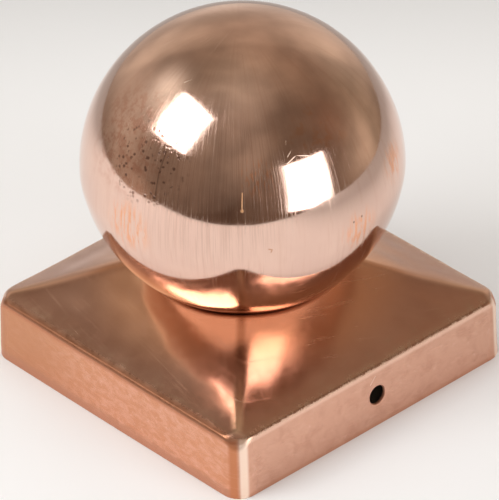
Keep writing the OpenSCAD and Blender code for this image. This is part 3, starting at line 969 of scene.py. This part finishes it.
# ----------------------------------------------------------------------- stage
def floor():
    """a pale table top, square to the camera, with rounded corners"""
    heading = math.radians(48.4)                     # the camera stands towards +X/-Y
    right = np.array([math.cos(heading), math.sin(heading)])
    away = np.array([-right[1], right[0]])
    x0, x1, y0, y1, r = -0.540, 0.530, -0.372, 0.62, 0.03
    pts = []
    for cx, cy, a0 in ((x1 - r, y1 - r, 0), (x0 + r, y1 - r, 90), (x0 + r, y0 + r, 180), (x1 - r, y0 + r, 270)):
        for i in range(9):
            a = math.radians(a0 + i * 90 / 8)
            pts.append((cx + r * math.cos(a), cy + r * math.sin(a)))
    verts = [tuple(right * u + away * v) + (-0.00002,) for u, v in pts]
    low = [(x, y, -0.025) for x, y, _ in verts]
    n = len(verts)
    me = bpy.data.meshes.new("table")
    me.from_pydata(verts + low, [], [tuple(range(n)), tuple(range(2 * n - 1, n - 1, -1))]
                   + [(i, n + i, n + (i + 1) % n, (i + 1) % n) for i in range(n)])
    ob = bpy.data.objects.new("table", me)
    scene.collection.objects.link(ob)
    m, k, s = new_material("pale_table")
    P = k.position()
    tone = k.noise(P, 0.01, 2.0, 0.5)
    near = k.mix(tone, rgb(0.92, 0.93, 0.94), rgb(0.95, 0.96, 0.97))
    u = k.vec("DOT_PRODUCT", P, (float(right[0]), float(right[1]), 0.0))
    v = k.vec("DOT_PRODUCT", P, (float(away[0]), float(away[1]), 0.0))
    # painted shade: the table greys towards the back and the right, as if the light fell off away from the object
    far = k.peak(k.step(v, 110.0, 270.0), k.step(u, 90.0, 300.0))
    k.put(s.inputs["Base Color"], k.mix(far, near, rgb(0.54, 0.54, 0.54)))
    s.inputs["Roughness"].default_value = 0.9
    s.inputs["Specular IOR Level"].default_value = 0.1
    me.materials.append(m)


def area_light(name, centre, across, up, radiance, tint=(1, 1, 1), glossy=True):
    """a rectangular panel facing the ball; across and up are its full edges in metres"""
    centre, across, up = Vector(centre), Vector(across), Vector(up)
    x = across.normalized()
    back = (centre - Vector((0, 0, 0.05))).normalized()
    z = (back - x * back.dot(x)).normalized()
    y = z.cross(x)
    li = bpy.data.lights.new(name, "AREA")
    li.shape = "RECTANGLE"
    li.size, li.size_y = across.length, up.length
    li.energy = radiance * math.pi * across.length * up.length
    li.color = tint
    ob = bpy.data.objects.new(name, li)
    ob.matrix_world = Matrix.Translation(centre) @ Matrix((x, y, z)).transposed().to_4x4()
    scene.collection.objects.link(ob)
    ob.visible_camera = False
    ob.visible_glossy = glossy
    return ob


def world():
    w = bpy.data.worlds.new("studio")
    scene.world = w
    w.use_nodes = True
    k = Nodes(w.node_tree)
    out = k.new("ShaderNodeOutputWorld")
    tc = k.new("ShaderNodeTexCoord")
    D = tc.outputs["Generated"]
    cam_az = math.radians(-41.6)                     # direction from the object to the camera

    def lobe(az, el, width, colour):
        """a soft patch of light: az from the camera's side, in degrees"""
        a, e = cam_az + math.radians(az), math.radians(el)
        u = (math.cos(a) * math.cos(e), math.sin(a) * math.cos(e), math.sin(e))
        dot = k.vec("DOT_PRODUCT", D, u)
        g = k.math("EXPONENT", k.mul(k.math("SUBTRACT", dot, 1.0), 2.0 / math.radians(width) ** 2))
        nd = k.new("ShaderNodeVectorMath", operation="SCALE")
        nd.inputs[0].default_value = colour
        k.put(nd.inputs["Scale"], g)
        return nd.outputs[0]

    def disc(az, el, radius, edge, colour):
        """a round patch of light with a definite edge"""
        a, e = cam_az + math.radians(az), math.radians(el)
        u = (math.cos(a) * math.cos(e), math.sin(a) * math.cos(e), math.sin(e))
        dot = k.vec("DOT_PRODUCT", D, u)
        g = k.step(dot, math.cos(math.radians(radius + edge)), math.cos(math.radians(radius - edge)))
        nd = k.new("ShaderNodeVectorMath", operation="SCALE")
        nd.inputs[0].default_value = colour
        k.put(nd.inputs["Scale"], g)
        return nd.outputs[0]

    total = k.vec("ADD", (0.165, 0.117, 0.083), lobe(180, -14, 26, (0.44, 0.44, 0.42)))
    for args in (
        (178, 38, 20, (0.13, 0.10, 0.08)),           # wall above and behind
        (178, 70, 22, (0.15, 0.13, 0.10)),           # ceiling
        (0, 85, 20, (0.20, 0.19, 0.16)),
        (-145, 18, 22, (0.28, 0.26, 0.22)),          # behind, to the left
        (148, 16, 20, (0.28, 0.26, 0.22)),           # behind, to the right
        (-113, 43, 11, (0.74, 0.76, 0.68)),          # round the left panel
        (-88, 46, 12, (0.45, 0.42, 0.36)),
        (-108, 14, 19, (0.34, 0.30, 0.25)),
        (98, 0, 17, (0.33, 0.29, 0.23)),             # beside the right panel
        (120, 8, 22, (0.10, 0.09, 0.06)),
        (-82, -6, 18, (0.24, 0.18, 0.14)),
        (-20, 52, 28, (0.07, 0.06, 0.05)),
        (6, 34, 22, (0.09, 0.08, 0.065)),
        (88, 29, 14, (0.10, 0.05, 0.03)),
        (-16, 2, 20, (-0.07, -0.055, -0.04)),
        (126, 58, 20, (0.11, 0.075, 0.05)),
    ):
        total = k.vec("ADD", total, lobe(*args))
    total = k.vec("ADD", total, disc(180, 16, 38, 3, (0.10, 0.085, 0.065)))
    total = k.vec("ADD", total, disc(-38, 40, 46, 3, (0.045, 0.042, 0.036)))
    total = k.vec("MAXIMUM", total, (0.03, 0.02, 0.014))
    patch = k.noise(D, 2.6, 3.0, 0.55)
    total = k.vec("SCALE", total, scale=k.step(patch, 0.3, 0.7, 0.82, 1.18))
    room = k.new("ShaderNodeBackground")
    k.put(room.inputs["Color"], total)
    pale = k.new("ShaderNodeBackground")
    pale.inputs["Color"].default_value = (0.86, 0.86, 0.86, 1)
    lp = k.new("ShaderNodeLightPath")
    mixer = k.new("ShaderNodeMixShader")
    k.put(mixer.inputs[0], lp.outputs["Is Camera Ray"])
    k.put(mixer.inputs[1], room.outputs[0])
    k.put(mixer.inputs[2], pale.outputs[0])
    k.put(out.inputs["Surface"], mixer.outputs[0])


floor()
world()
area_light("panel_left", (-0.205, -0.612, 0.735), (0.4835, -0.123, 0.025), (0.06, 0.359, 0.347), 5.0)
area_light("panel_right", (0.914, 0.0705, 0.204), (-0.0235, 0.509, -0.0535), (-0.09, 0.025, 0.527), 4.0)
area_light("fill", (0.05, 0.1, 1.5), (1.6, 0, 0), (0, 1.6, 0), 1.24, (0.86, 0.94, 1.0), glossy=False)

scene.view_settings.view_transform = "Standard"
scene.view_settings.look = "None"
scene.view_settings.exposure = 0.0
scene.view_settings.gamma = 1.0

# ---------------------------------------------------------------------- camera
az, el, roll, dist = math.radians(48.37), math.radians(33.98), math.radians(-1.946), 1.4549
back = Vector((math.sin(az) * math.cos(el), -math.cos(az) * math.cos(el), math.sin(el)))
r0 = Vector((math.cos(az), math.sin(az), 0.0))
u0 = back.cross(r0)
right = r0 * math.cos(roll) + u0 * math.sin(roll)
up = -r0 * math.sin(roll) + u0 * math.cos(roll)
target = Vector((0, 0, 0.030)) + right * 0.000973 + up * 0.001102
cam = bpy.data.cameras.new("camera")
cam.sensor_fit = "AUTO"
cam.sensor_width = 36.0
cam.lens = 413.57
cam.clip_start, cam.clip_end = 0.05, 20.0
cam.dof.use_dof = False
cam_ob = bpy.data.objects.new("camera", cam)
cam_ob.matrix_world = Matrix.Translation(target + back * dist) @ Matrix((right, up, back)).transposed().to_4x4()
scene.collection.objects.link(cam_ob)
scene.camera = cam_ob
